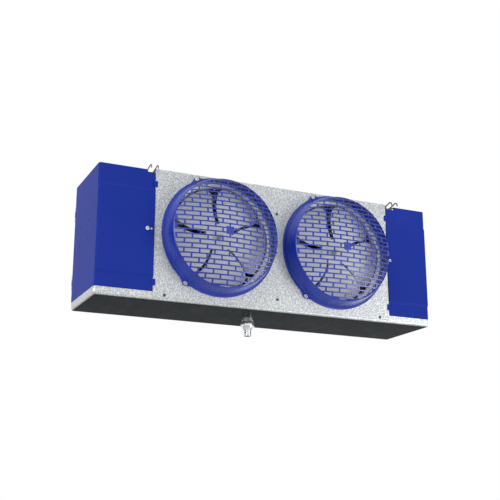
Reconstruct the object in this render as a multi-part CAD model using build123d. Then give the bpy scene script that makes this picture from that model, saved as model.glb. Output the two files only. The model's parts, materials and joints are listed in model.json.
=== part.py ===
"""Two-fan, low-profile unit cooler for a walk-in cold room, hung from the ceiling.

Millimetres.  +Z is up, +X runs along the cabinet, and the fans blow towards -Y.
The origin is the centre of the four hanger holes, on the hangers' upper web face.
"""
from build123d import *
import math
import os

os.makedirs("parts", exist_ok=True)

# ---------------------------------------------------------------- cabinet
cabinet_height = 381.0
cabinet_depth = 240.0
sheet = 1.2
fan_section_start = -384.0
fan_section_length = 764.0
left_compartment = 165.0
right_compartment = 144.0
panel_gap = 1.5
flange_width = 15.0
lid_flange = 12.0

# ---------------------------------------------------------------- fans
fan_spacing = 379.0
fan_pair_x = 4.0
fan_drop = 178.5
fan_radius = 147.0
orifice_throat = 152.0
orifice_mouth = 161.0
orifice_length = 24.0
blade_count = 5
blade_thickness = 1.8
blade_pitch = 6.0
blade_camber_radius = 600.0
blade_root = 38.0
blade_gap = 9.0
blade_sweep = 7.0
blade_corner = 22.0
first_gap_angle = 20.0
hub_radius = 20.0
hub_length = 30.0
spider_radius = 42.0
fan_forward = 18.0
shaft_radius = 4.0
running_clearance = 0.05

# ---------------------------------------------------------------- fan guards
guard_depth = 77.0
guard_wall_radius = 170.0
guard_front_radius = 162.0
guard_wall_height = 47.0
guard_shoulder = 8.5
guard_shoulder_rise = 9.0
guard_skin = 2.4
guard_flange_radius = 177.0
guard_flange_thickness = 4.0
guard_ear_circle = 180.0
guard_ear_radius = 7.0
guard_ear_base = 50.0
guard_ear_angles = (114.5, 234.5, 354.5)
guard_screw_hole = 2.6
brick_row_pitch = 13.3
brick_height = 10.0
brick_pitch = 43.5
brick_bar = 4.0
brick_field_radius = 158.8
smallest_brick = 70.0
badge_size = 22.0

# ---------------------------------------------------------------- end panels
end_panel_drop = 5.0
end_panel_height = 351.0
end_panel_corner = 6.0
band_proud = 3.0
band_slope = 8.0
band_top = 60.0
band_bottom = 319.0
panel_flange = 12.0
tab_reach = 7.0
tab_height = 18.0
tab_drops = (46.0, 331.5)
side_hole_radius = 2.5
side_holes = ((-36.0, 151.0), (51.0, 151.0), (-34.0, 203.0), (53.0, 203.0))
notch_clearance = 2.0
notch_depth = 9.0

# ---------------------------------------------------------------- drain pan
pan_height = 24.0
pan_corner = 8.0
pan_front_inset = 1.8
front_panel_overlap = 15.0
drain_x = -44.5
drain_y = -4.0
drain_collar_radius = 17.0
drain_body_radius = 21.0
drain_stub_radius = 11.1
drain_neck_length = 12.0
drain_body_length = 14.0
drain_taper_length = 11.0
drain_stub_length = 17.0
drain_bore = 8.5

# ---------------------------------------------------------------- hangers
hanger_spacing = 792.0
hanger_hole_spacing = 170.0
hanger_hole_radius = 5.5
hanger_width = 22.0
hanger_gauge = 2.0
hanger_flange = 10.0
hanger_recess = 10.0
prong_reach = 28.0
prong_depth = 4.0

# ---------------------------------------------------------------- coil
tube_radius = 7.94
tube_wall = 0.6
tube_pitch = 38.1
tube_rows = 8
tube_reach = 12.0
fin_pitch = 6.35
fin_thickness = 0.4
fin_depth = 66.0
coil_back_gap = 8.0
coil_top_drop = 15.0
header_radius = 11.1
header_stand_off = 54.0
feeder_radius = 3.2
reducer_length = 6.0
liquid_radius = 4.76
valve_length = 46.0

# ---------------------------------------------------------------- motors
motor_radius = 42.0
motor_length = 82.0
motor_boss_radius = 16.0
motor_boss_length = 6.0
mount_strap_width = 30.0
mount_strap_gauge = 3.0
mount_leg_half_span = 170.0
mount_foot = 8.0
mount_leg_depth = 62.0

# ---------------------------------------------------------------- hinges
knuckle_radius = 3.6
pin_radius = 2.0
knuckle_length = 14.0
knuckle_play = 0.3
leaf_length = 20.0
door_hinge_drops = (88.0, 298.0)
pan_hinge_places = (-400.0, 0.0, 380.0)

# ---------------------------------------------------------------- screws
screw_head_radius = 6.0
screw_head_height = 3.0
small_head_radius = 4.5
small_head_height = 2.2

# ---------------------------------------------------------------- planes worked out from the sizes above
top = hanger_recess
bottom = top - cabinet_height
front = -cabinet_depth / 2
back = cabinet_depth / 2
pan_rim = bottom + pan_height
left_bulkhead = fan_section_start
right_bulkhead = fan_section_start + fan_section_length
left_end = left_bulkhead - left_compartment
right_end = right_bulkhead + right_compartment
frame_foot = pan_rim + 2.0
fan_z = top - fan_drop
fan_centres = {"left": fan_pair_x - fan_spacing / 2, "right": fan_pair_x + fan_spacing / 2}
hinge_y = back + sheet + knuckle_radius - sheet / 2


def block(x, y, z):
    """A box from the pairs of limits along each axis."""
    size = [max(pair) - min(pair) for pair in (x, y, z)]
    middle = [(pair[0] + pair[1]) / 2 for pair in (x, y, z)]
    return Pos(*middle) * Box(*size)


def rod(start, direction, radius, length):
    """A round bar that starts at a point and runs along a direction."""
    plane = Plane(origin=start, z_dir=direction)
    return extrude(plane * Circle(radius), length)


def tube(start, direction, radius, bore, length):
    """A hollow round bar."""
    return rod(start, direction, radius, length) - rod(start, direction, bore, length)


def pipe_run(points, radius):
    """A pipe through a list of points, with a ball at each elbow."""
    pipe = None
    for start, end in zip(points, points[1:]):
        piece = rod(start, Vector(end) - Vector(start), radius, math.dist(start, end))
        pipe = piece if pipe is None else pipe + piece
    for elbow in points[1:-1]:
        pipe += Pos(*elbow) * Sphere(radius)
    return pipe


def spun(points, centre, axis_direction, bulges=()):
    """A solid of revolution.  Points are (radius, distance along the axis) in order;
    bulges gives, for some point numbers, the mid point of an arc to the next point."""
    arcs = dict(bulges)
    edges = []
    for number, start in enumerate(points):
        end = points[(number + 1) % len(points)]
        if number in arcs:
            edges.append(ThreePointArc(start, arcs[number], end))
        else:
            edges.append(Line(start, end))
    profile = make_face(Wire(edges))
    plane = Plane(origin=centre, x_dir=(0, 0, 1) if abs(axis_direction[2]) < 0.5 else (1, 0, 0),
                  z_dir=Vector((0, 0, 1) if abs(axis_direction[2]) < 0.5 else (1, 0, 0)).cross(
                      Vector(axis_direction)))
    return revolve(plane * profile, Axis(centre, axis_direction), 360)


def save(node, *solids):
    """Writes one node, which may hold several separate solids."""
    flat = []
    for shape in solids:
        flat.extend(shape.solids())
    shape = flat[0] if len(flat) == 1 else Compound(children=flat)
    shape.label = node
    export_step(shape, f"parts/{node}.step")


def at_angle(centre_x, radius, degrees):
    """The point (x, z) on a circle round a fan's axis."""
    turn = math.radians(degrees)
    return centre_x + radius * math.cos(turn), fan_z + radius * math.sin(turn)


# ================================================================ cabinet sheet metal
def front_panel():
    panel = block((left_bulkhead + panel_gap, right_bulkhead - panel_gap), (front, front + sheet),
                  (pan_rim - front_panel_overlap, top))
    for centre_x in fan_centres.values():
        panel -= rod((centre_x, front - 1, fan_z), (0, 1, 0), orifice_mouth, sheet + 2)
    return drilled_for_guards(panel)


def drilled_for_guards(shape):
    """Clears the guard screws through whatever sheet lies behind the front face."""
    for centre_x in fan_centres.values():
        for degrees in guard_ear_angles:
            x, z = at_angle(centre_x, guard_ear_circle, degrees)
            shape -= rod((x, front - 1, z), (0, 1, 0), guard_screw_hole, 3 * sheet)
    return shape


def top_panel():
    inset = flange_width + 3 * sheet
    lid = block((left_bulkhead, right_bulkhead), (front + sheet, back), (top - sheet, top))
    drop = (top - lid_flange, top - sheet)
    span = (left_bulkhead + inset, right_bulkhead - inset)
    lid += block(span, (front + sheet, front + 2 * sheet), drop)
    lid += block(span, (back - sheet, back), drop)
    for centre_x in fan_centres.values():
        lid -= block((centre_x - mount_strap_width / 2 - 2, centre_x + mount_strap_width / 2 + 2),
                     (front + sheet - 1, front + 2 * sheet + 1), drop)
    return lid


def tube_places():
    """(y, z) of each coil tube: two staggered rows, listed from the top."""
    row_gap = tube_pitch * math.sin(math.radians(60))
    rear_y = back - coil_back_gap - fin_depth / 2 + row_gap / 2
    places = []
    for number in range(tube_rows):
        z = top - coil_top_drop - tube_pitch * (number + 0.5)
        places.append((rear_y - row_gap, z))
        places.append((rear_y, z - tube_pitch / 2))
    return places


def tube_sheet(x, inward):
    face = x + inward * sheet
    flange_end = x + inward * flange_width
    plate = block((x, face), (front + sheet, back), (frame_foot, top - sheet))
    plate += block((x, flange_end), (front + sheet, front + 2 * sheet), (frame_foot, top - sheet))
    plate += block((x, flange_end), (back - sheet, back), (frame_foot, top - sheet))
    for y, z in tube_places():
        plate -= rod((x - 2 * inward, y, z), (inward, 0, 0), tube_radius + running_clearance, 4 + sheet)
    return drilled_for_guards(plate)


def centre_partition():
    plate_x = fan_pair_x - flange_width / 2
    coil_face = back - coil_back_gap - fin_depth - 2
    below_lid = top - flange_width - 1
    plate = block((plate_x, plate_x + sheet), (front + sheet, coil_face), (frame_foot, below_lid))
    plate += block((plate_x, plate_x + flange_width), (front + sheet, front + 2 * sheet),
                   (frame_foot, below_lid))
    plate += block((plate_x, plate_x + flange_width), (front + sheet, coil_face),
                   (frame_foot, frame_foot + sheet))
    return plate


def end_frame(bulkhead, end, outward):
    """The fixed back and top of one end compartment, with its door-hinge knuckles."""
    clear = 2 * sheet + 0.6
    outer = end - outward * clear
    shelf_top = -hanger_gauge
    shell = block((bulkhead, outer), (back - sheet, back), (frame_foot, shelf_top))
    shell += block((bulkhead, outer), (front + panel_flange + 3, back), (shelf_top - sheet, shelf_top))
    shell -= block((bulkhead - outward * 1.0, bulkhead), (back - 1, back + 1), (frame_foot, top))
    axis_x = door_axis_x(end, outward)
    for drop in door_hinge_drops:
        for low, high in knuckle_spans(top - drop)[0::2]:
            shell += block((axis_x, axis_x - outward * leaf_length), (back, back + sheet), (low, high))
            shell += block((axis_x - outward * 5, axis_x - outward * leaf_length),
                           (back - sheet, back), (low, high))
            shell += rod((axis_x, hinge_y, low), (0, 0, 1), knuckle_radius, high - low)
        shell -= rod((axis_x, hinge_y, top - drop - 2 * knuckle_length), (0, 0, 1),
                     pin_radius + running_clearance, 4 * knuckle_length)
    return shell


def rear_rail():
    rail_top = frame_foot + 22
    span = (left_bulkhead + flange_width + sheet, right_bulkhead - flange_width - sheet)
    rail = block(span, (back - sheet, back), (frame_foot, rail_top))
    rail += block(span, (back - 6, back), (rail_top - sheet, rail_top))
    return rail


def pan_hinge_leaves():
    """The three fixed leaves that the drain pan hangs from."""
    leaves = []
    for place in pan_hinge_places:
        leaf = None
        for low, high in knuckle_spans(place)[0::2]:
            piece = block((low, high), (back, back + sheet), (pan_rim + 1, pan_rim + leaf_length))
            piece += rod((low, hinge_y, pan_rim), (1, 0, 0), knuckle_radius, high - low)
            leaf = piece if leaf is None else leaf + piece
        ends = knuckle_spans(place)
        leaf += block((ends[0][0], ends[2][1]), (back, back + sheet),
                      (pan_rim + knuckle_radius + 2, pan_rim + leaf_length))
        leaf -= rod((ends[0][0] - 1, hinge_y, pan_rim), (1, 0, 0), pin_radius + running_clearance,
                    ends[2][1] - ends[0][0] + 2)
        leaves.append(leaf)
    return leaves


# ================================================================ hinges
def knuckle_spans(middle):
    """Three knuckles along a hinge line: fixed, moving, fixed."""
    half = knuckle_length / 2
    return [(middle - half - knuckle_length - knuckle_play, middle - half - knuckle_play),
            (middle - half, middle + half),
            (middle + half + knuckle_play, middle + half + knuckle_length + knuckle_play)]


def door_axis_x(end, outward):
    return end - outward * knuckle_radius


def door_hinge_pins(end, outward):
    pins = []
    for drop in door_hinge_drops:
        spans = knuckle_spans(top - drop)
        start = (door_axis_x(end, outward), hinge_y, spans[0][0])
        pins.append(rod(start, (0, 0, 1), pin_radius, spans[2][1] - spans[0][0]))
    return pins


def pan_hinge_pins():
    pins = []
    for place in pan_hinge_places:
        spans = knuckle_spans(place)
        start = (spans[0][0], hinge_y, pan_rim)
        pins.append(rod(start, (1, 0, 0), pin_radius, spans[2][1] - spans[0][0]))
    return pins


# ================================================================ end panels
def end_panel_block(bulkhead, end, outward, inset, overrun):
    """The solid outline of an end panel: level bands with sloping steps between them."""
    levels = ((end_panel_drop, 0), (band_top, 0), (band_top + band_slope, band_proud),
              (band_bottom - band_slope, band_proud), (band_bottom, 0),
              (end_panel_drop + end_panel_height, 0))
    corner = end_panel_corner - inset
    sections = []
    for number, (drop, proud) in enumerate(levels):
        z = top - drop
        if number == 0:
            z += overrun
        if number == len(levels) - 1:
            z -= overrun
        near = front - proud + inset
        far = back - 2 + overrun
        outer = end - outward * inset
        inner = bulkhead - outward * overrun
        round_start = (outer, near + corner)
        round_end = (outer - outward * corner, near)
        slack = corner * (1 - math.sqrt(0.5))
        edges = [Line((inner, near), (inner, far)), Line((inner, far), (outer, far)),
                 Line((outer, far), round_start),
                 ThreePointArc(round_start, (outer - outward * slack, near + slack), round_end),
                 Line(round_end, (inner, near))]
        sections.append(Pos(0, 0, z) * make_face(Wire(edges)))
    return loft(sections, ruled=True)


def end_panel(bulkhead, end, outward):
    solid = end_panel_block(bulkhead, end, outward, 0.0, 0.0)
    hollow = end_panel_block(bulkhead, end, outward, sheet, 1.0)
    shell = solid - hollow
    rim_top = top - end_panel_drop
    for low, high in ((rim_top - sheet, rim_top),
                      (rim_top - end_panel_height, rim_top - end_panel_height + sheet)):
        rim = solid & block((bulkhead, end), (front, back), (low, high))
        rim -= block((bulkhead, end - outward * panel_flange), (front + panel_flange, back), (low, high))
        shell += rim
    shell += block((bulkhead, bulkhead + outward * sheet), (front - band_proud, front - 0.6),
                   (top - band_bottom + band_slope, top - band_top - band_slope))
    for drop in tab_drops:
        tall = (top - drop - tab_height / 2, top - drop + tab_height / 2)
        shell += block((bulkhead, bulkhead + outward * 6), (front - sheet - 0.3, front + sheet / 2), tall)
        shell += block((bulkhead - outward * tab_reach, bulkhead + outward * 6),
                       (front - sheet - 0.3, front - 0.3), tall)
    notch_end = outward * (hanger_spacing / 2 + hanger_width / 2 + notch_clearance)
    shell -= block((bulkhead - outward * 1, notch_end),
                   (front - 1, front + panel_flange + 1), (rim_top - notch_depth, rim_top + 1))
    for y, drop in side_holes:
        if outward < 0:
            shell -= rod((end - 1, y, top - drop), (1, 0, 0), side_hole_radius, sheet + 2)
    axis_x = door_axis_x(end, outward)
    for drop in door_hinge_drops:
        low, high = knuckle_spans(top - drop)[1]
        shell += block((end, end - outward * sheet), (back - 2.5, hinge_y), (low, high))
        knuckle = tube((axis_x, hinge_y, low), (0, 0, 1), knuckle_radius,
                       pin_radius + running_clearance, high - low)
        shell += knuckle
    return shell


# ================================================================ drain pan
def drain_pan():
    x_span = (left_end, right_end)
    y_span = (front + pan_front_inset, back)
    outer = block(x_span, y_span, (bottom, pan_rim))
    rounded = outer.edges().filter_by(Axis.Z) + outer.faces().sort_by(Axis.Z)[0].edges()
    outer = fillet(rounded, pan_corner)
    inner = block((left_end + sheet, right_end - sheet),
                  (front + pan_front_inset + sheet, back - sheet), (bottom + sheet, pan_rim + pan_corner * 2))
    rounded = inner.edges().filter_by(Axis.Z) + inner.faces().sort_by(Axis.Z)[0].edges()
    inner = fillet(rounded, pan_corner - sheet)
    pan = outer - inner
    pan -= rod((drain_x, drain_y, bottom - 1), (0, 0, 1), drain_bore + 2, sheet + 2)
    for place in pan_hinge_places:
        low, high = knuckle_spans(place)[1]
        pan += block((low, high), (back - sheet / 2, back + sheet), (pan_rim - 12, pan_rim))
        pan += rod((low, hinge_y, pan_rim), (1, 0, 0), knuckle_radius, high - low)
        pan -= rod((low - 1, hinge_y, pan_rim), (1, 0, 0), pin_radius + running_clearance, high - low + 2)
    return pan


def drain_fitting():
    lengths = (drain_neck_length, drain_body_length, drain_taper_length, drain_stub_length)
    neck_end = lengths[0]
    body_end = neck_end + lengths[1]
    taper_end = body_end + lengths[2]
    stub_end = taper_end + lengths[3]
    outline = [(drain_bore, 0), (drain_collar_radius, 0), (drain_collar_radius, neck_end - 3),
               (drain_body_radius, neck_end), (drain_body_radius, body_end),
               (drain_stub_radius, taper_end), (drain_stub_radius, stub_end), (drain_bore, stub_end)]
    return spun(outline, (drain_x, drain_y, bottom), (0, 0, -1))


# ================================================================ hangers
def hanger(centre_x):
    half = hanger_width / 2
    span_y = (front + 4, back)
    rail = block((centre_x - half, centre_x + half), span_y, (-hanger_gauge, 0))
    for side in (-1, 1):
        outer = centre_x + side * half
        inner = outer - side * hanger_gauge
        rail += block((inner, outer), span_y, (-hanger_gauge, hanger_flange - 2))
        rail += prong(min(inner, outer))
    for y in (-hanger_hole_spacing / 2, hanger_hole_spacing / 2):
        rail -= rod((centre_x, y, -hanger_gauge - 1), (0, 0, 1), hanger_hole_radius, hanger_gauge + 2)
    return rail


def prong(x):
    """One hooked tip: it runs forward out of the flange and curls over at its end."""
    root = (front + 12, hanger_flange - 2 - prong_depth / 2)
    crest = (front - prong_reach * 0.52, hanger_flange + 2)
    tip = (front - prong_reach, prong_depth * 0.4)
    over = (front - prong_reach * 0.86, hanger_flange)
    path = Wire([Line(root, crest), ThreePointArc(crest, over, tip)])
    outline = make_face(offset(path, prong_depth / 2, side=Side.BOTH))
    plane = Plane(origin=(x, 0, 0), x_dir=(0, 1, 0), z_dir=(1, 0, 0))
    return extrude(plane * outline, hanger_gauge)


# ================================================================ coil
def coil_fins():
    start = left_bulkhead + flange_width + 4
    end = right_bulkhead - flange_width - 4
    count = int((end - start) / fin_pitch)
    fin_top = top - flange_width - 1
    fin_foot = top - coil_top_drop - tube_pitch * (tube_rows + 0.25)
    rear = back - coil_back_gap
    first = (start + end) / 2 - (count - 1) * fin_pitch / 2
    fins = []
    for number in range(count):
        x = first + number * fin_pitch
        fins.append(block((x - fin_thickness / 2, x + fin_thickness / 2), (rear - fin_depth, rear),
                          (fin_foot, fin_top)))
    return fins


def coil_tubes():
    length = fan_section_length + 2 * tube_reach
    return [tube((left_bulkhead - tube_reach, y, z), (1, 0, 0), tube_radius, tube_radius - tube_wall, length)
            for y, z in tube_places()]


def return_bend(first, second, x, direction):
    """A half-round bend that joins two neighbouring tube ends."""
    middle = ((first[0] + second[0]) / 2, (first[1] + second[1]) / 2)
    reach = math.dist(first, second) / 2
    across = Vector(0, second[0] - first[0], second[1] - first[1]).normalized()
    start = Vector(x, first[0], first[1])
    ring = Plane(origin=start, z_dir=(direction, 0, 0)) * Circle(tube_radius)
    spin = across.cross(Vector(direction, 0, 0))
    return revolve(ring, Axis((x, *middle), spin), -180 if reach > 0 else 180)


def return_bends():
    places = tube_places()
    right_x = right_bulkhead + tube_reach
    left_x = left_bulkhead - tube_reach
    bends = [return_bend(places[2 * n], places[2 * n + 1], right_x, 1) for n in range(tube_rows)]
    for n in range(tube_rows - 1):
        if n != tube_rows // 2 - 1:
            bends.append(return_bend(places[2 * n + 1], places[2 * n + 2], left_x, -1))
    return bends


def header_line():
    """x, y of the suction header's axis."""
    return left_bulkhead - header_stand_off, tube_places()[1][0]


def suction_header():
    places = tube_places()
    outlets = (places[tube_rows - 1], places[2 * tube_rows - 1])
    x, y = header_line()
    low = outlets[1][1] - 18
    high = outlets[0][1] + 70
    header = rod((x, y, low), (0, 0, 1), header_radius, high - low)
    for _, z in outlets:
        header += rod((left_bulkhead - tube_reach, y, z), (-1, 0, 0), tube_radius,
                      header_stand_off - tube_reach)
    header += rod((x, y, high - header_radius), (-1, 0, 0), header_radius, 62)
    return header


def distributor():
    x = left_bulkhead - header_stand_off - 26
    y = tube_places()[0][0] - 20
    z = tube_places()[tube_rows + 2][1]
    return spun([(0, 0), (8, 0), (8, 10), (14, 26), (14, 34), (0, 34)], (x, y, z), (0, 0, 1)), (x, y, z)


def expansion_valve(base):
    x, y, z = base
    body = rod((x, y, z - valve_length), (0, 0, 1), 11, valve_length)
    body += rod((x, y, z - 24), (-1, 0, 0), 9, 22)
    body += rod((x - 22, y, z - 24), (-1, 0, 0), 19, 10)
    return body


def liquid_line(base):
    """The liquid line drops out of the valve and turns along the compartment to its open end."""
    x, y, z = base
    low = z - valve_length
    return pipe_run([(x, y, low), (x, y, low - 34), (x - 46, y, low - 34)], liquid_radius)


def feeder_tubes(base):
    """The two small tubes from the distributor to the coil's inlets."""
    x, y, z = base
    places = tube_places()
    end_x = left_bulkhead - tube_reach
    feeders = []
    for number, inlet in enumerate((places[0], places[tube_rows])):
        side = x - 6 + 12 * number
        feeder = pipe_run([(side, y, z + 34), (side, y, inlet[1]), (side, *inlet), (end_x, *inlet)],
                          feeder_radius)
        feeders.append(feeder + rod((end_x, *inlet), (-1, 0, 0), tube_radius, reducer_length))
    return feeders


# ================================================================ electrical box
def terminal_box():
    x = (right_bulkhead, right_bulkhead + 46)
    y = (-70, 10)
    z = (fan_z - 10, fan_z + 110)
    box = block(x, y, z)
    box -= block((x[0] + 1.2, x[1] + 1), (y[0] + 1.2, y[1] - 1.2), (z[0] + 1.2, z[1] - 1.2))
    return box


def terminal_strip():
    x0 = right_bulkhead + 1.2
    strip = block((x0, x0 + 14), (-48, -12), (fan_z + 5, fan_z + 95))
    for number in range(6):
        z = fan_z + 12 + number * 14
        strip -= block((x0 + 8, x0 + 15), (-44, -16), (z, z + 9))
    return strip


# ================================================================ fans, motors and guards
def venturi(centre_x):
    """The spun ring behind the panel that leads air into the fan."""
    rear = orifice_length
    flange = orifice_mouth + 3
    outline = [(orifice_throat, rear), (orifice_throat, 9), (orifice_mouth - 0.5, 0), (flange, 0),
               (flange, sheet), (orifice_mouth, sheet), (orifice_throat + sheet, 9 + sheet),
               (orifice_throat + sheet, rear)]
    middle = orifice_throat + (orifice_mouth - orifice_throat) * 0.3
    bulges = {1: (middle, 2.7), 5: (middle + sheet, 2.7 + sheet)}
    return spun(outline, (centre_x, front + sheet, fan_z), (0, 1, 0), bulges)


def blade_edge_point(radius, edge_angle, side):
    """A point on a blade's swept edge, half a gap away from the gap's middle line."""
    sweep = blade_sweep * math.sin(math.pi * (radius - blade_root) / (fan_radius - blade_root))
    turn = math.radians(edge_angle + sweep) + side * blade_gap / 2 / radius
    return radius * math.cos(turn), radius * math.sin(turn)


def fan_blades(centre_x):
    """A five-bladed pressed wheel: each blade is a cambered sheet cut to a petal outline."""
    share = 360 / blade_count
    spoke_plane = Plane(origin=(0, 0, 0), x_dir=(1, 0, 0), z_dir=(0, -1, 0))
    trailing = [blade_edge_point(radius, -share / 2, 1) for radius in (blade_root, 95, fan_radius)]
    leading = [blade_edge_point(radius, share / 2, -1) for radius in (blade_root, 95, fan_radius)]
    petal = make_face(Wire([
        ThreePointArc(*trailing), ThreePointArc(trailing[-1], (fan_radius, 0), leading[-1]),
        ThreePointArc(*reversed(leading)), Line(leading[0], trailing[0])]))
    petal = fillet(petal.vertices().sort_by_distance((0, 0))[-2:], blade_corner)
    prism = extrude(spoke_plane * petal, 60, both=True)
    chord = 110.0
    lean = math.radians(blade_pitch)
    run, rise = chord * math.cos(lean), chord * math.sin(lean)
    sag = chord * chord / (2 * blade_camber_radius)
    dip, slip = sag * math.cos(lean), sag * math.sin(lean)
    arc = ThreePointArc((slip - run, -dip - rise), (0, 0), (slip + run, rise - dip))
    strip = make_face(offset(arc, blade_thickness / 2, side=Side.BOTH))
    spoke = Plane(origin=(blade_root - 5, 0, 0), x_dir=(0, 0, 1), z_dir=(1, 0, 0))
    sheet_form = extrude(spoke * strip, fan_radius)
    blade = prism & sheet_form
    wheel = Plane(origin=(0, 2, 0), z_dir=(0, -1, 0)) * Circle(spider_radius)
    wheel = extrude(wheel, 4)
    for number in range(blade_count):
        wheel += Rot(0, share * (number - 0.5) - first_gap_angle, 0) * blade
    wheel -= rod((0, 10, 0), (0, -1, 0), shaft_radius + 4, 20)
    return Pos(centre_x, front - fan_forward + 24, fan_z) * wheel


def fan_hub(centre_x):
    """The cast hub on its shaft."""
    hub_front = front - fan_forward
    disc = hub_front + 22
    hub = rod((centre_x, disc + 4, fan_z), (0, 1, 0), hub_radius, hub_length - 10)
    hub += rod((centre_x, hub_front, fan_z), (0, 1, 0), shaft_radius, motor_face() + 40 - hub_front)
    hub += rod((centre_x, hub_front + 6, fan_z), (0, 1, 0), shaft_radius + 4 - running_clearance, 24)
    return hub


def motor_face():
    """y of the motor's front end."""
    return front + sheet + mount_leg_depth


def motor(centre_x):
    face = motor_face()
    back_end = motor_length
    outline = [(shaft_radius + running_clearance, -motor_boss_length), (motor_boss_radius, -motor_boss_length),
               (motor_boss_radius, 0), (motor_radius - 6, 0), (motor_radius, 6),
               (motor_radius, back_end - 10), (motor_radius - 10, back_end), (0, back_end),
               (0, 44), (shaft_radius + running_clearance, 44)]
    return spun(outline, (centre_x, face, fan_z), (0, 1, 0))


def motor_mount(centre_x):
    """A bent strap whose feet stand on the front panel and whose bridge carries the motor."""
    half = mount_strap_width / 2
    span = (centre_x - half, centre_x + half)
    root = front + sheet
    bridge = root + mount_leg_depth
    strap = block(span, (bridge - mount_strap_gauge, bridge),
                  (fan_z - mount_leg_half_span, fan_z + mount_leg_half_span))
    for side in (-1, 1):
        edge = fan_z + side * mount_leg_half_span
        strap += block(span, (root, bridge), (edge - side * mount_strap_gauge, edge))
        strap += block(span, (root, root + mount_strap_gauge), (edge, edge + side * (mount_foot - 3)))
    ring = rod((centre_x, bridge - mount_strap_gauge, fan_z), (0, 1, 0), motor_radius - 4, mount_strap_gauge)
    strap += ring
    return strap - rod((centre_x, bridge - 10, fan_z), (0, 1, 0), motor_boss_radius + running_clearance, 20)


def guard_shell(centre_x):
    wall = guard_wall_radius
    rim = guard_front_radius
    shoulder = (rim - guard_shoulder, guard_wall_height + guard_shoulder_rise)
    skin = guard_skin
    rise = guard_depth - shoulder[1]
    dome = (shoulder[0] ** 2 + rise ** 2) / (2 * rise)
    half = shoulder[0] / 2
    mid = (half, guard_depth - dome + math.sqrt(dome ** 2 - half ** 2))
    bend = (rim - guard_shoulder * 0.3, guard_wall_height + guard_shoulder_rise * 0.62)
    ridge = guard_flange_thickness + 5
    outline = [(0, guard_depth), shoulder, (rim, guard_wall_height), (wall, ridge),
               (wall + 3, guard_flange_thickness), (guard_flange_radius, guard_flange_thickness),
               (guard_flange_radius, 0), (wall - skin, 0), (rim - skin, guard_wall_height - 1),
               (shoulder[0] - 1, shoulder[1] - skin), (0, guard_depth - skin)]
    bulges = {0: mid, 1: bend, 8: (bend[0] - skin * 0.8, bend[1] - skin * 0.7),
              9: (mid[0], mid[1] - skin)}
    return spun(outline, (centre_x, front, fan_z), (0, -1, 0), bulges)


def brick_field():
    """Running-bond openings, clipped to a circle; each row is shifted by half a brick."""
    field = Circle(brick_field_radius)
    rows = int(brick_field_radius / brick_row_pitch) + 1
    columns = int(brick_field_radius / brick_pitch) + 2
    faces = []
    for row in range(-rows, rows + 1):
        for column in range(-columns, columns + 1):
            x = (column + 0.5 * (row % 2)) * brick_pitch
            z = row * brick_row_pitch
            if math.hypot(max(abs(x) - brick_pitch / 2, 0), max(abs(z) - brick_height / 2, 0)) \
                    > brick_field_radius:
                continue
            brick = (Pos(x, z) * Rectangle(brick_pitch - brick_bar, brick_height)) & field
            faces.extend(face for face in brick.faces() if face.area > smallest_brick)
    return faces


def guard(centre_x):
    shell = guard_shell(centre_x)
    for degrees in guard_ear_angles:
        turn = Plane(origin=(centre_x, front, fan_z), x_dir=(1, 0, 0), z_dir=(0, -1, 0))
        lug = make_hull((Sketch() + Pos(guard_ear_circle, 0) * Circle(guard_ear_radius)
                         + Pos(guard_wall_radius + 2, 0) * Rectangle(2, guard_ear_base)).edges())
        lug -= Pos(guard_ear_circle, 0) * Circle(guard_screw_hole)
        shell += extrude(turn * Rot(0, 0, degrees) * lug, guard_flange_thickness)
    plane = Plane(origin=(centre_x, front - guard_wall_height + 4, fan_z), x_dir=(1, 0, 0), z_dir=(0, -1, 0))
    cutters = [extrude(plane * face, guard_depth - guard_wall_height + 8) for face in brick_field()]
    shell = shell - cutters
    half = badge_size / 2
    shell += block((centre_x - half, centre_x + half), (front - guard_depth - 0.6, front - guard_depth + 2),
                   (fan_z - half, fan_z + half))
    return shell


# ================================================================ screws
def screw_head(x, y, z, radius, height):
    """A domed screw head that stands towards -Y on a face at y."""
    return spun([(0, -height), (radius, 0), (0, 0)], (x, y, z), (0, 1, 0),
                {0: (radius * 0.62, -height * 0.8)})


def hex_head(x, y, z, radius, height):
    """A hexagon washer head that stands towards -Y on a face at y."""
    head = rod((x, y, z), (0, -1, 0), radius, height * 0.35)
    plane = Plane(origin=(x, y, z), x_dir=(1, 0, 0), z_dir=(0, -1, 0))
    return head + extrude(plane * RegularPolygon(radius * 0.78, 6), height)


def guard_screws(centre_x):
    screws = []
    for degrees in guard_ear_angles:
        x, z = at_angle(centre_x, guard_ear_circle, degrees)
        seat = front - guard_flange_thickness
        screw = screw_head(x, seat, z, screw_head_radius, screw_head_height)
        screws.append(screw + rod((x, seat, z), (0, 1, 0), guard_screw_hole - 0.1,
                                  guard_flange_thickness + 3 * sheet))
    return screws


def front_panel_screws():
    places = ((fan_pair_x - 6, top - 83), (fan_pair_x - 6, top - 344))
    return [hex_head(x, front, z, small_head_radius, small_head_height) for x, z in places]


def pan_screws():
    places = ((left_bulkhead + 35, pan_rim - 8), (right_bulkhead - 35, pan_rim - 8))
    return [hex_head(x, front, z, small_head_radius, small_head_height) for x, z in places]


def panel_screws(places):
    return [screw_head(x, front - band_proud, z, radius, height) for x, z, radius, height in places]


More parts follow.
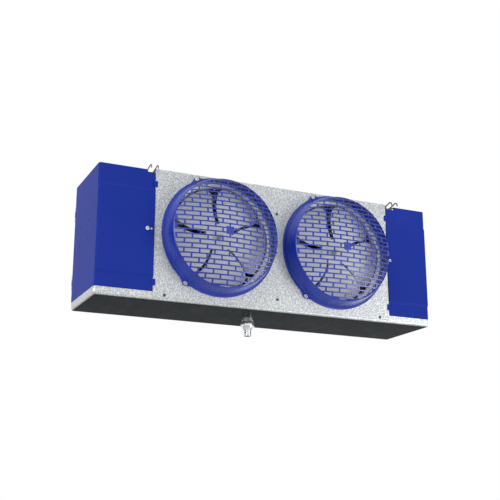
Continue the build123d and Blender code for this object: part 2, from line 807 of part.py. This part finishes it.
# ================================================================ every node
save("front_panel", front_panel())
save("top_panel", top_panel())
save("left_tube_sheet", tube_sheet(left_bulkhead, 1))
save("right_tube_sheet", tube_sheet(right_bulkhead, -1))
save("centre_partition", centre_partition())
save("left_end_frame", end_frame(left_bulkhead, left_end, -1))
save("right_end_frame", end_frame(right_bulkhead, right_end, 1))
save("rear_rail", rear_rail())
save("pan_hinge_leaves", *pan_hinge_leaves())
save("pan_hinge_pins", *pan_hinge_pins())
save("left_hanger", hanger(-hanger_spacing / 2))
save("right_hanger", hanger(hanger_spacing / 2))
save("coil_fins", *coil_fins())
save("coil_tubes", *coil_tubes())
save("return_bends", *return_bends())
save("suction_header", suction_header())
distributor_body, distributor_base = distributor()
save("distributor", distributor_body)
save("expansion_valve", expansion_valve(distributor_base))
save("liquid_line", liquid_line(distributor_base))
save("feeder_tubes", *feeder_tubes(distributor_base))
save("terminal_box", terminal_box())
save("terminal_strip", terminal_strip())
for side, fan_x in fan_centres.items():
    save(f"{side}_venturi", venturi(fan_x))
    save(f"{side}_motor", motor(fan_x))
    save(f"{side}_motor_mount", motor_mount(fan_x))
    save(f"{side}_guard", guard(fan_x))
    save(f"{side}_guard_screws", *guard_screws(fan_x))
    save(f"{side}_fan_blades", fan_blades(fan_x))
    save(f"{side}_fan_hub", fan_hub(fan_x))
save("front_panel_screws", *front_panel_screws())
save("pan_screws", *pan_screws())
save("left_end_panel", end_panel(left_bulkhead, left_end, -1))
save("right_end_panel", end_panel(right_bulkhead, right_end, 1))
save("left_panel_screws", *panel_screws([(left_bulkhead - 21, fan_z - 2, screw_head_radius, 3.5),
                                         (left_bulkhead - 9, fan_z - 2, 3.0, 1.8)]))
save("right_panel_screws", *panel_screws([(right_bulkhead + 7, fan_z - 4, small_head_radius, 2.5)]))
save("left_door_pins", *door_hinge_pins(left_end, -1))
save("right_door_pins", *door_hinge_pins(right_end, 1))
save("drain_pan", drain_pan())
save("drain_fitting", drain_fitting())
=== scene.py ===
import json
import math

import bpy
from mathutils import Matrix, Vector


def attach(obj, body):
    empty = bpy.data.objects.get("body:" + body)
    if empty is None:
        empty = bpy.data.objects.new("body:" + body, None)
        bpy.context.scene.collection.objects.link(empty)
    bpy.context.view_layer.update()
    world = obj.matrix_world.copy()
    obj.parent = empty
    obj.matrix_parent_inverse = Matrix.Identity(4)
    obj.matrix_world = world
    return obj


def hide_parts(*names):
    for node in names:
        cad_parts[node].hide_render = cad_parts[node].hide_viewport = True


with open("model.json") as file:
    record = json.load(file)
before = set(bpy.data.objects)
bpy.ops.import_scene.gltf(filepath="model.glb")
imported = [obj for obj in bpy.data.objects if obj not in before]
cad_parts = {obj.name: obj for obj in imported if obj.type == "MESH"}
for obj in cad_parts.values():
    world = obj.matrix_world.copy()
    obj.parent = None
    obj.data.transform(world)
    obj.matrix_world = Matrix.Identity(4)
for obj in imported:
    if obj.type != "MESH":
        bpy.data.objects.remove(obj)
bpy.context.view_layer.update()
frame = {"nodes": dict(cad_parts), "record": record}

# ---------------------------------------------------------------- places, in metres
front = -0.120
cabinet_top = 0.010
pan_bottom = -0.371
left_bulkhead = -0.384
right_bulkhead = 0.380
fan_z = -0.1685
fan_x = {"left": -0.1855, "right": 0.1935}
band_proud = 0.003

guard_ear_circle = 0.180
guard_ear_angles = (114.5, 234.5, 354.5)
guard_flange_thickness = 0.004

drain_x = -0.0445
drain_y = -0.004

# head radius and head height of each kind of screw
ear_screw = (0.0060, 0.0030)
left_panel_screw = (0.0060, 0.0035)
left_stop_screw = (0.0030, 0.0018)
right_panel_screw = (0.0045, 0.0025)
sheet_screw = (0.0045, 0.0022)

floor_z = -2.60
lens_length = 69.82
camera_place = (-1.2222, -2.5800, -0.9693)
camera_pitch = 15.96
camera_yaw = 24.719


# ================================================================ shader arithmetic
class Value:
    """A shader socket that takes part in arithmetic: each operator adds a Math node."""

    def __init__(self, tree, socket):
        self.tree = tree
        self.socket = socket

    def worked(self, operation, *terms):
        node = self.tree.nodes.new("ShaderNodeMath")
        node.operation = operation
        for entry, term in zip(node.inputs, terms):
            if isinstance(term, Value):
                self.tree.links.new(term.socket, entry)
            else:
                entry.default_value = term
        return Value(self.tree, node.outputs[0])

    def __add__(self, other):
        return self.worked("ADD", self, other)

    def __sub__(self, other):
        return self.worked("SUBTRACT", self, other)

    def __rsub__(self, other):
        return self.worked("SUBTRACT", other, self)

    def __mul__(self, other):
        return self.worked("MULTIPLY", self, other)

    def __truediv__(self, other):
        return self.worked("DIVIDE", self, other)

    def __pow__(self, power):
        return self.worked("POWER", self, power)

    __radd__ = __add__
    __rmul__ = __mul__

    def within(self, low, high):
        """0 below low, 1 above high, and straight between."""
        share = (self - low) / (high - low)
        return self.worked("MAXIMUM", self.worked("MINIMUM", share, 1.0), 0.0)


class Finish:
    """One material: a Principled surface, and short ways to add what varies over it."""

    def __init__(self, name, colour, roughness, metallic=0.0, **fixed):
        self.material = bpy.data.materials.new(name)
        self.material.use_nodes = True
        self.tree = self.material.node_tree
        self.surface = self.tree.nodes["Principled BSDF"]
        self.place = self.node("ShaderNodeTexCoord", output="Object")
        self.set("Base Color", colour)
        self.set("Roughness", roughness)
        self.set("Metallic", metallic)
        for socket, value in fixed.items():
            self.set(socket.replace("_", " "), value)

    def node(self, kind, settings=None, sockets=None, output=0):
        """Adds a node: its settings first, then the values or links of its sockets."""
        node = self.tree.nodes.new(kind)
        for name, value in (settings or {}).items():
            setattr(node, name, value)
        for name, value in (sockets or {}).items():
            self.feed(node.inputs[name], value)
        return Value(self.tree, node.outputs[output])

    def feed(self, entry, value):
        if isinstance(value, Value):
            self.tree.links.new(value.socket, entry)
        elif isinstance(value, tuple) and len(value) == 3 and entry.type == "RGBA":
            entry.default_value = (*value, 1.0)
        else:
            entry.default_value = value

    def set(self, socket, value):
        self.feed(self.surface.inputs[socket], value)

    def noise(self, scale, detail=2.0, place=None, roughness=0.5):
        return self.node("ShaderNodeTexNoise", None,
                         {"Vector": place or self.place, "Scale": scale, "Detail": detail,
                          "Roughness": roughness})

    def pebbles(self, scale, smoothness=0.6):
        return self.node("ShaderNodeTexVoronoi", {"feature": "SMOOTH_F1"},
                         {"Vector": self.place, "Scale": scale, "Smoothness": smoothness})

    def along(self, axis):
        """One of the object coordinates, in metres."""
        return self.node("ShaderNodeSeparateXYZ", None, {0: self.place}, output=axis)

    def stretched(self, scale):
        """Object coordinates scaled by a different amount along each axis."""
        return self.node("ShaderNodeMapping", None, {"Vector": self.place, "Scale": scale})

    def blend(self, share, first, second):
        return self.node("ShaderNodeMix", {"data_type": "RGBA"}, {0: share, 6: first, 7: second},
                         output=2)

    def colour(self, share, first, second):
        self.set("Base Color", self.blend(share, first, second))

    def bump(self, height, distance, strength):
        sockets = {"Height": height, "Distance": distance, "Strength": strength}
        self.set("Normal", self.node("ShaderNodeBump", None, sockets))

    def radius_from(self, centre_x):
        """Distance from a fan's axis."""
        across = self.along("X") - centre_x
        up = self.along("Z") - fan_z
        return (across * across + up * up) ** 0.5


# ================================================================ finishes
def stucco_relief(finish):
    """The rolled stucco pattern: small rounded pebbles with a finer grain between them."""
    return finish.pebbles(230.0) * 0.7 + finish.noise(330.0, 3.0) * 0.8


def painted_relief_shading(finish, relief, tone, contrast):
    """Painted highlight and painted shade on the stucco pattern: its raised tops are painted lighter and
    its hollows darker.
    """
    light = tuple(channel * (1.0 + contrast) for channel in tone)
    dark = tuple(channel * (1.0 - contrast) for channel in tone)
    return finish.blend(relief.within(0.50, 0.90), dark, light)


def stucco_sheet(name, tone, roughness=0.42):
    """Galvanised sheet rolled with a stucco pattern."""
    finish = Finish(name, tone, roughness, metallic=0.4)
    relief = stucco_relief(finish)
    cloud = finish.noise(9.0, 3.0)
    # Base colour with a painted highlight on the stucco tops and painted shade in its hollows.
    finish.set("Base Color", painted_relief_shading(finish, relief, tone, 0.34))
    finish.set("Roughness", roughness + (cloud - 0.5) * 0.16)
    finish.bump(relief, 0.0009, 0.6)
    return finish.material


def pan_sheet(name, tone):
    """The drain pan: stucco sides, and a smoother underside whose dark colour is painted shade, with
    faint painted reflection streaks.
    """
    finish = Finish(name, tone, 0.36, IOR=1.03)
    relief = stucco_relief(finish)
    # The sides carry the same painted highlight and painted shade on the stucco relief.
    sides = painted_relief_shading(finish, relief, tone, 0.30)
    painted_reflection_marks = finish.noise(1.0, 4.0, finish.stretched((30.0, 9.0, 30.0)), 0.6).within(0.5, 0.74)
    streak = finish.noise(3.0, 3.0).within(0.4, 0.7)
    # Painted shade and painted reflection: the near-black underside tones stand in for the dark floor
    # the sheet mirrors; the two noise marks on them paint reflected streaks.
    underside = finish.blend(painted_reflection_marks * 0.35 + streak * 0.25, (0.016, 0.020, 0.022), (0.060, 0.066, 0.070))
    upward = finish.along("Z").within(pan_bottom + 0.0004, pan_bottom + 0.0030)
    # Painted shade: within about 3 mm of the pan's bottom the colour turns to the dark underside tones.
    finish.colour(upward, underside, sides)
    finish.set("Metallic", upward * 0.4)
    finish.set("Roughness", 0.28 + upward * 0.12 + (streak - 0.5) * 0.08)
    finish.bump(relief, 0.0007, 0.45)
    return finish.material


def blue_enamel(name, deep, bright, roughness=0.30):
    """Stoved enamel with a slight orange peel and a slow drift in its tone."""
    finish = Finish(name, deep, roughness, Coat_Roughness=0.12, IOR=1.06)
    drift = finish.noise(3.2, 2.0).within(0.3, 0.7)
    peel = finish.noise(260.0, 1.5)
    speck = finish.noise(900.0, 2.0).within(0.66, 0.74)
    finish.colour(drift * 0.7 + speck * 0.3, deep, bright)
    finish.set("Roughness", roughness + (peel - 0.5) * 0.16 + drift * 0.05)
    finish.set("Coat Weight", 0.02 + drift * 0.03)
    finish.bump(peel, 0.0003, 0.25)
    return finish.material


def moulded_guard(name, deep, bright):
    """Moulded blue plastic: satin gloss, cloudy flow marks, fine texture."""
    finish = Finish(name, deep, 0.26, Coat_Roughness=0.18, IOR=1.45)
    flow = finish.noise(14.0, 3.0).within(0.35, 0.65)
    grain = finish.noise(700.0, 2.0)
    finish.colour(flow * 0.65, deep, bright)
    finish.set("Roughness", 0.24 + flow * 0.08 + (grain - 0.5) * 0.14)
    finish.set("Coat Weight", 0.22 + flow * 0.1)
    finish.bump(grain, 0.00015, 0.25)
    return finish.material


def spun_metal(name, centre_x, tone, roughness, marks, metallic=0.8):
    """Sheet with the fine rings that spinning or turning leaves round the fan's axis."""
    finish = Finish(name, tone, roughness, metallic)
    radius = finish.radius_from(centre_x)
    rings = finish.node("ShaderNodeTexNoise", {"noise_dimensions": "1D"},
                        {"W": radius * marks, "Scale": 1.0, "Detail": 3.0})
    cloud = finish.noise(16.0, 2.0)
    light = tuple(min(1.0, channel * 1.12) for channel in tone)
    dark = tuple(channel * 0.78 for channel in tone)
    finish.colour(rings * 0.5 + cloud * 0.5, dark, light)
    finish.set("Roughness", roughness + (rings - 0.5) * 0.2 + (cloud - 0.5) * 0.1)
    finish.bump(rings, 0.0002, 0.3)
    return finish.material


def plated_steel(name, tone, roughness, metallic=0.85, streaks=(60.0, 60.0, 8.0)):
    """Zinc-plated or galvanised steel: soft blotches, drawn streaks and a dull film."""
    finish = Finish(name, tone, roughness, metallic)
    blotch = finish.noise(38.0, 3.0)
    drawn = finish.noise(6.0, 3.0, finish.stretched(streaks))
    grain = finish.noise(800.0, 2.0)
    light = tuple(min(1.0, channel * 1.2) for channel in tone)
    dark = tuple(channel * 0.62 for channel in tone)
    finish.colour((blotch * 0.6 + drawn * 0.4).within(0.35, 0.65), dark, light)
    finish.set("Roughness", roughness + (blotch - 0.5) * 0.3 + (grain - 0.5) * 0.1)
    finish.bump(drawn + grain * 0.5, 0.0002, 0.35)
    return finish.material


def copper_tube(name):
    """Drawn copper with brown tarnish in patches and fine draw lines along the cabinet."""
    finish = Finish(name, (0.70, 0.33, 0.19), 0.3, 0.95)
    patch = finish.noise(22.0, 4.0).within(0.42, 0.66)
    lines = finish.noise(10.0, 2.0, finish.stretched((6.0, 220.0, 220.0)))
    finish.colour(patch * 0.8 + lines * 0.2, (0.74, 0.36, 0.21), (0.30, 0.13, 0.075))
    finish.set("Roughness", 0.22 + patch * 0.26 + (lines - 0.5) * 0.1)
    finish.bump(lines, 0.0001, 0.3)
    return finish.material


def cast_brass(name):
    """Machined brass, dulled in patches."""
    finish = Finish(name, (0.66, 0.47, 0.19), 0.32, 0.95)
    dull = finish.noise(60.0, 3.0).within(0.4, 0.66)
    turned = finish.noise(900.0, 2.0)
    finish.colour(dull, (0.72, 0.53, 0.23), (0.38, 0.26, 0.11))
    finish.set("Roughness", 0.25 + dull * 0.25 + (turned - 0.5) * 0.1)
    finish.bump(turned, 0.0001, 0.3)
    return finish.material


def rippled_fins(name):
    """Mill-finish fin stock: shallow ripples down each fin and a little oxide."""
    finish = Finish(name, (0.72, 0.73, 0.75), 0.34, 0.85)
    oxide = finish.noise(24.0, 3.0)
    ripple = finish.node("ShaderNodeTexWave", {"bands_direction": "Z", "wave_profile": "SIN"},
                         {"Vector": finish.place, "Scale": 55.0, "Distortion": 0.4})
    finish.colour(oxide.within(0.3, 0.7), (0.50, 0.51, 0.53), (0.80, 0.81, 0.82))
    finish.set("Roughness", 0.28 + oxide * 0.2)
    finish.bump(ripple, 0.0004, 0.5)
    return finish.material


def dark_enamel(name, tone, roughness):
    """Black motor enamel with a pebbled spray and grey dust in patches."""
    finish = Finish(name, tone, roughness)
    spray = finish.noise(520.0, 2.0)
    dust = finish.noise(30.0, 4.0).within(0.5, 0.8)
    finish.colour(dust * 0.6, tone, (0.11, 0.11, 0.105))
    finish.set("Roughness", roughness + dust * 0.3 + (spray - 0.5) * 0.15)
    finish.bump(spray, 0.0003, 0.4)
    return finish.material


def bright_plating(name):
    """Bright plated fitting: polished, with faint turning rings down its length."""
    finish = Finish(name, (0.90, 0.91, 0.92), 0.22, 0.85)
    rings = finish.node("ShaderNodeTexNoise", {"noise_dimensions": "1D"},
                        {"W": finish.along("Z") * 2600.0, "Scale": 1.0, "Detail": 2.0})
    smear = finish.noise(90.0, 3.0).within(0.45, 0.7)
    finish.colour(smear * 0.6 + rings * 0.3, (0.94, 0.95, 0.95), (0.62, 0.64, 0.66))
    finish.set("Roughness", 0.12 + smear * 0.2 + (rings - 0.5) * 0.08)
    finish.bump(rings, 0.00012, 0.4)
    return finish.material


finishes = {
    "galvanised_sheet": stucco_sheet("galvanised_sheet", (0.50, 0.52, 0.525)),
    "pan_sheet": pan_sheet("pan_sheet", (0.55, 0.57, 0.575)),
    "blue_enamel": blue_enamel("blue_enamel", (0.014, 0.034, 0.285), (0.020, 0.042, 0.335)),
    "blue_guard": moulded_guard("blue_guard", (0.008, 0.030, 0.32), (0.016, 0.048, 0.44)),
    "fan_aluminium_left": spun_metal("fan_aluminium_left", fan_x["left"], (0.74, 0.75, 0.76),
                                     0.46, 900.0, 0.2),
    "fan_aluminium_right": spun_metal("fan_aluminium_right", fan_x["right"], (0.74, 0.75, 0.76),
                                      0.46, 900.0, 0.2),
    "venturi_steel_left": spun_metal("venturi_steel_left", fan_x["left"], (0.92, 0.92, 0.92),
                                     0.36, 500.0, 0.1),
    "venturi_steel_right": spun_metal("venturi_steel_right", fan_x["right"], (0.92, 0.92, 0.92),
                                      0.36, 500.0, 0.1),
    "bright_steel": plated_steel("bright_steel", (0.56, 0.57, 0.58), 0.34),
    "hanger_steel": plated_steel("hanger_steel", (0.13, 0.135, 0.145), 0.42, 0.7, (8.0, 90.0, 90.0)),
    "zinc_screws": plated_steel("zinc_screws", (0.62, 0.63, 0.62), 0.30, 0.9, (300.0, 60.0, 300.0)),
    "dark_screws": plated_steel("dark_screws", (0.10, 0.10, 0.105), 0.38, 0.7, (300.0, 60.0, 300.0)),
    "motor_enamel": dark_enamel("motor_enamel", (0.018, 0.018, 0.020), 0.38),
    "terminal_plastic": dark_enamel("terminal_plastic", (0.030, 0.030, 0.030), 0.55),
    "fin_aluminium": rippled_fins("fin_aluminium"),
    "copper": copper_tube("copper"),
    "brass": cast_brass("brass"),
    "drain_metal": bright_plating("drain_metal"),
}

slot_of = {part["node"]: part["material_slot"] for part in frame["record"]["subparts"]}
bodies = frame["record"]["behaviour"]["bodies"]
body_of = {node: body for body, nodes in bodies.items() for node in nodes}


def finish_for(node):
    """The finish a CAD node wears: its slot's, or that of its own fan or of the pan."""
    slot = slot_of[node]
    if node == "drain_pan":
        return finishes["pan_sheet"]
    if slot in ("fan_aluminium", "venturi_steel"):
        return finishes[slot + "_" + node.split("_")[0]]
    return finishes[slot]


for node, shape in frame["nodes"].items():
    shape.data.materials.clear()
    shape.data.materials.append(finish_for(node))


# ================================================================ modelling by hand
def deselect():
    if bpy.context.mode != "OBJECT":
        bpy.ops.object.mode_set(mode="OBJECT")
    bpy.ops.object.select_all(action="DESELECT")


def focus(piece):
    deselect()
    piece.select_set(True)
    bpy.context.view_layer.objects.active = piece


def edit(piece, kind="VERT"):
    focus(piece)
    bpy.ops.object.mode_set(mode="EDIT")
    bpy.ops.mesh.select_mode(type=kind)


def select(piece, kind, test):
    """Selects the faces, edges or vertices that pass a test, with the piece in edit mode."""
    bpy.ops.object.mode_set(mode="OBJECT")
    mesh = piece.data
    for group in (mesh.vertices, mesh.edges, mesh.polygons):
        group.foreach_set("select", [False] * len(group))
    chosen = {"FACE": mesh.polygons, "EDGE": mesh.edges, "VERT": mesh.vertices}[kind]
    for part in chosen:
        part.select = bool(test(part))
    bpy.ops.object.mode_set(mode="EDIT")
    bpy.ops.mesh.select_mode(type=kind)


def edge_middle(piece, edge):
    first, second = (piece.data.vertices[number].co for number in edge.vertices)
    return (first + second) / 2


def apply(piece, kind, **values):
    focus(piece)
    modifier = piece.modifiers.new(kind.title(), kind)
    for name, value in values.items():
        setattr(modifier, name, value)
    bpy.ops.object.modifier_apply(modifier=modifier.name)


def round_edges(piece, width, segments=2, degrees=30):
    apply(piece, "BEVEL", width=width, segments=segments, limit_method="ANGLE",
          angle_limit=math.radians(degrees))


def smooth(piece, degrees=35):
    focus(piece)
    bpy.ops.object.shade_smooth_by_angle(angle=math.radians(degrees))


def joined(pieces, name):
    focus(pieces[0])
    for piece in pieces[1:]:
        piece.select_set(True)
    if len(pieces) > 1:
        bpy.ops.object.join()
    pieces[0].name = name
    pieces[0].data.name = name
    return pieces[0]


def copied_to(piece, matrix):
    """A copy with its own mesh, whose place is in that mesh."""
    copy = bpy.data.objects.new(piece.name, piece.data.copy())
    bpy.context.collection.objects.link(copy)
    copy.data.transform(matrix)
    return copy


def discard(piece):
    bpy.data.objects.remove(piece, do_unlink=True)


def placed(piece):
    """Puts an object's place and turn into its mesh."""
    focus(piece)
    bpy.ops.object.transform_apply(location=True, rotation=True, scale=True)


def finished(piece, name, nodes, finish, body, degrees=35):
    """Names a piece, gives it its finish, and lets it stand for CAD nodes on their body."""
    piece.name = name
    piece.data.name = name
    smooth(piece, degrees)
    piece.data.materials.clear()
    piece.data.materials.append(finish)
    for face in piece.data.polygons:
        face.material_index = 0
    if nodes:
        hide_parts(*nodes)
    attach(piece, body)
    return piece


def rod(radius, low, high, vertices=32):
    """A bar along Z between two heights, ready to be shaped."""
    deselect()
    bpy.ops.mesh.primitive_cylinder_add(vertices=vertices, radius=radius, depth=high - low,
                                        location=(0.0, 0.0, (low + high) / 2))
    bar = bpy.context.object
    placed(bar)
    return bar


def turned(profile, steps=48):
    """A turned form: (radius, height) points spun once round the Z axis."""
    mesh = bpy.data.meshes.new("turned")
    mesh.from_pydata([(radius, 0.0, height) for radius, height in profile],
                     [(n, n + 1) for n in range(len(profile) - 1)], [])
    piece = bpy.data.objects.new("turned", mesh)
    bpy.context.collection.objects.link(piece)
    edit(piece)
    bpy.ops.mesh.select_all(action="SELECT")
    bpy.ops.mesh.spin(steps=steps, angle=math.tau, center=(0.0, 0.0, 0.0), axis=(0.0, 0.0, 1.0))
    bpy.ops.mesh.select_all(action="SELECT")
    bpy.ops.mesh.remove_doubles(threshold=0.00001)
    bpy.ops.mesh.normals_make_consistent(inside=False)
    bpy.ops.object.mode_set(mode="OBJECT")
    return piece


# ---------------------------------------------------------------- screws
def pan_head(radius, height):
    """A pan-head screw along +Z with a cross recess."""
    head = rod(radius, 0.0, height)
    edit(head)
    select(head, "EDGE", lambda edge: edge_middle(head, edge).z > height * 0.9
           and edge_middle(head, edge).xy.length > radius * 0.9)
    bpy.ops.mesh.bevel(offset=height * 0.72, segments=5, profile=0.62)
    bpy.ops.object.mode_set(mode="OBJECT")
    for turn in (0.0, math.pi / 2):
        deselect()
        bpy.ops.mesh.primitive_cube_add(size=1.0, location=(0.0, 0.0, height * 0.86),
                                        rotation=(0.0, 0.0, turn))
        blade = bpy.context.object
        blade.scale = (radius * 1.05, radius * 0.24, height * 0.9)
        placed(blade)
        edit(blade, "FACE")
        select(blade, "FACE", lambda face: face.normal.z < -0.9)
        bpy.ops.transform.resize(value=(0.62, 0.62, 1.0))
        bpy.ops.object.mode_set(mode="OBJECT")
        apply(head, "BOOLEAN", operation="DIFFERENCE", object=blade, solver="EXACT")
        discard(blade)
    round_edges(head, radius * 0.02, 1, 50)
    return head


def washer_head(radius, height):
    """A hexagon head on a thin washer, along +Z, with the dish that forging leaves."""
    washer = rod(radius, 0.0, height * 0.35)
    edit(washer)
    select(washer, "EDGE", lambda edge: edge_middle(washer, edge).z > height * 0.3
           and edge_middle(washer, edge).xy.length > radius * 0.9)
    bpy.ops.mesh.bevel(offset=height * 0.2, segments=2)
    bpy.ops.object.mode_set(mode="OBJECT")
    hexagon = rod(radius * 0.78, height * 0.2, height, 6)
    edit(hexagon, "FACE")
    select(hexagon, "FACE", lambda face: face.normal.z > 0.9)
    bpy.ops.mesh.inset(thickness=radius * 0.12)
    bpy.ops.mesh.inset(thickness=radius * 0.1)
    bpy.ops.transform.translate(value=(0.0, 0.0, -height * 0.12))
    bpy.ops.object.mode_set(mode="OBJECT")
    round_edges(hexagon, radius * 0.05, 2, 35)
    return joined([washer, hexagon], "washer_head")


def driven(head, places, seat):
    """Copies of a head at (x, z) places, standing towards -Y on a face at seat."""
    stand = Matrix.Rotation(math.radians(90), 4, "X")
    heads = []
    for number, (x, z) in enumerate(places):
        turn = Matrix.Rotation(0.7 + 1.9 * number, 4, "Z")
        heads.append(copied_to(head, Matrix.Translation((x, seat, z)) @ stand @ turn))
    discard(head)
    return heads


def ear_places(centre_x):
    places = []
    for degrees in guard_ear_angles:
        turn = math.radians(degrees)
        places.append((centre_x + guard_ear_circle * math.cos(turn),
                       fan_z + guard_ear_circle * math.sin(turn)))
    return places


def fasten(heads, name, node, slot, body):
    """Joins driven heads into the one piece that stands for a screw node."""
    finished(joined(heads, "heads"), name, [node], finishes[slot], body)


for side, centre_x in fan_x.items():
    heads = driven(pan_head(*ear_screw), ear_places(centre_x), front - guard_flange_thickness)
    fasten(heads, f"{side}_guard_screw_heads", f"{side}_guard_screws", "zinc_screws", "cabinet")

panel_face = front - band_proud
left_heads = driven(pan_head(*left_panel_screw), [(left_bulkhead - 0.021, fan_z - 0.002)], panel_face)
left_heads += driven(pan_head(*left_stop_screw), [(left_bulkhead - 0.009, fan_z - 0.002)], panel_face)
fasten(left_heads, "left_panel_screw_heads", "left_panel_screws", "zinc_screws", "left_door")
right_heads = driven(pan_head(*right_panel_screw), [(right_bulkhead + 0.007, fan_z - 0.004)], panel_face)
fasten(right_heads, "right_panel_screw_heads", "right_panel_screws", "zinc_screws", "right_door")

middle_places = [(-0.002, cabinet_top - 0.083), (-0.002, cabinet_top - 0.344)]
middle_heads = driven(washer_head(*sheet_screw), middle_places, front)
fasten(middle_heads, "front_screw_heads", "front_panel_screws", "dark_screws", "cabinet")
rim_places = [(left_bulkhead + 0.035, pan_bottom + 0.016), (right_bulkhead - 0.035, pan_bottom + 0.016)]
rim_heads = driven(washer_head(*sheet_screw), rim_places, front)
fasten(rim_heads, "pan_screw_heads", "pan_screws", "dark_screws", "cabinet")


# ---------------------------------------------------------------- drain outlet
def drain_outlet():
    """Collar, hexagon body, taper and beaded stub, from the pan's underside down."""
    neck, body, taper, stub = 0.012, 0.014, 0.011, 0.017
    body_end = neck + body
    taper_end = body_end + taper
    stub_end = taper_end + stub
    bore, stub_radius, body_radius, collar_radius = 0.0085, 0.0111, 0.021, 0.017
    collar = turned([(bore, 0.0), (collar_radius, 0.0), (collar_radius, -neck + 0.004),
                     (collar_radius - 0.001, -neck + 0.003), (collar_radius - 0.001, -neck),
                     (bore, -neck), (bore, 0.0)])
    nut = rod(body_radius, -body_end, -neck + 0.0005, 6)
    turn = Matrix.Rotation(math.radians(14), 4, "Z")
    nut.data.transform(turn)
    round_edges(nut, 0.0012, 2, 35)
    stub_profile = [(bore, -body_end + 0.001), (body_radius - 0.0035, -body_end + 0.001),
                    (body_radius - 0.0035, -body_end), (stub_radius + 0.0012, -taper_end + 0.001),
                    (stub_radius, -taper_end)]
    for drop in (0.004, 0.011):
        groove = -taper_end - drop
        stub_profile += [(stub_radius, groove), (stub_radius - 0.0005, groove - 0.0008),
                         (stub_radius, groove - 0.0016)]
    stub_profile += [(stub_radius, -stub_end + 0.0006), (stub_radius - 0.0005, -stub_end),
                     (bore, -stub_end), (bore, -body_end + 0.001)]
    outlet = joined([collar, nut, turned(stub_profile)], "drain_outlet")
    outlet.data.transform(Matrix.Translation((drain_x, drain_y, pan_bottom)))
    return outlet


finished(drain_outlet(), "drain_outlet", ["drain_fitting"],
         finishes["drain_metal"], "pan", 30)


# ---------------------------------------------------------------- formed sheet metal
def formed(node, width, segments=2, degrees=32):
    """A sheet-metal node again, with its folds and cut edges rounded as a press leaves them."""
    piece = bpy.data.objects.new(node + "_formed", frame["nodes"][node].data.copy())
    bpy.context.collection.objects.link(piece)
    edit(piece)
    bpy.ops.mesh.select_all(action="SELECT")
    bpy.ops.mesh.remove_doubles(threshold=0.00001)
    bpy.ops.mesh.dissolve_limited(angle_limit=math.radians(0.6))
    bpy.ops.object.mode_set(mode="OBJECT")
    round_edges(piece, width, segments, degrees)
    return finished(piece, node + "_formed", [node], finish_for(node), body_of[node])


for node in ("left_hanger", "right_hanger"):
    formed(node, 0.00045)


# ================================================================ stage, light and camera
def floor_finish():
    finish = Finish("pale_floor", (0.84, 0.84, 0.83), 0.7)
    grain = finish.noise(9.0, 3.0)
    finish.colour(grain.within(0.3, 0.7), (0.82, 0.82, 0.815), (0.86, 0.86, 0.855))
    finish.bump(finish.noise(120.0, 2.0), 0.0005, 0.2)
    return finish.material


deselect()
bpy.ops.mesh.primitive_plane_add(size=26.0, location=(0.0, 0.0, floor_z))
floor = bpy.context.object
floor.name = "floor"
placed(floor)
floor.data.materials.append(floor_finish())


def soft_light(name, place, aim, size, power, colour=(1.0, 1.0, 1.0)):
    """A large square lamp that faces a point."""
    lamp = bpy.data.lights.new(name, "AREA")
    lamp.shape = "SQUARE"
    lamp.size = size
    lamp.energy = power
    lamp.color = colour
    holder = bpy.data.objects.new(name, lamp)
    holder.location = place
    holder.rotation_euler = (Vector(aim) - Vector(place)).to_track_quat("-Z", "Y").to_euler()
    bpy.context.collection.objects.link(holder)


soft_light("left_light", (-3.0, -1.2, 0.2), (-0.5, 0.0, -0.2), 1.8, 36.0)
soft_light("front_light", (2.4, -2.4, -0.7), (0.3, 0.0, -0.2), 1.6, 50.0)
soft_light("top_light", (-0.6, -1.6, 2.6), (0.0, 0.0, -0.1), 2.4, 22.0)

world = bpy.data.worlds.new("studio")
bpy.context.scene.world = world
world.use_nodes = True
sky = world.node_tree
sky.nodes.clear()
path = sky.nodes.new("ShaderNodeLightPath")
seen = sky.nodes.new("ShaderNodeMath")
seen.operation = "MAXIMUM"
sky.links.new(path.outputs["Is Camera Ray"], seen.inputs[0])
sky.links.new(path.outputs["Is Glossy Ray"], seen.inputs[1])
soft = sky.nodes.new("ShaderNodeBackground")
soft.inputs["Color"].default_value = (0.95, 0.97, 1.0, 1.0)
soft.inputs["Strength"].default_value = 0.55
white = sky.nodes.new("ShaderNodeBackground")
white.inputs["Color"].default_value = (1.0, 1.0, 1.0, 1.0)
white.inputs["Strength"].default_value = 1.0
chosen = sky.nodes.new("ShaderNodeMixShader")
sky.links.new(seen.outputs[0], chosen.inputs[0])
sky.links.new(soft.outputs[0], chosen.inputs[1])
sky.links.new(white.outputs[0], chosen.inputs[2])
end = sky.nodes.new("ShaderNodeOutputWorld")
sky.links.new(chosen.outputs[0], end.inputs["Surface"])

lens = bpy.data.cameras.new("camera")
lens.sensor_width = 36.0
lens.lens = lens_length
lens.clip_end = 60.0
camera = bpy.data.objects.new("camera", lens)
camera.location = camera_place
camera.rotation_euler = (math.radians(90.0 + camera_pitch), 0.0, math.radians(-camera_yaw))
bpy.context.collection.objects.link(camera)
bpy.context.scene.camera = camera
bpy.context.scene.view_settings.view_transform = "Standard"

deselect()
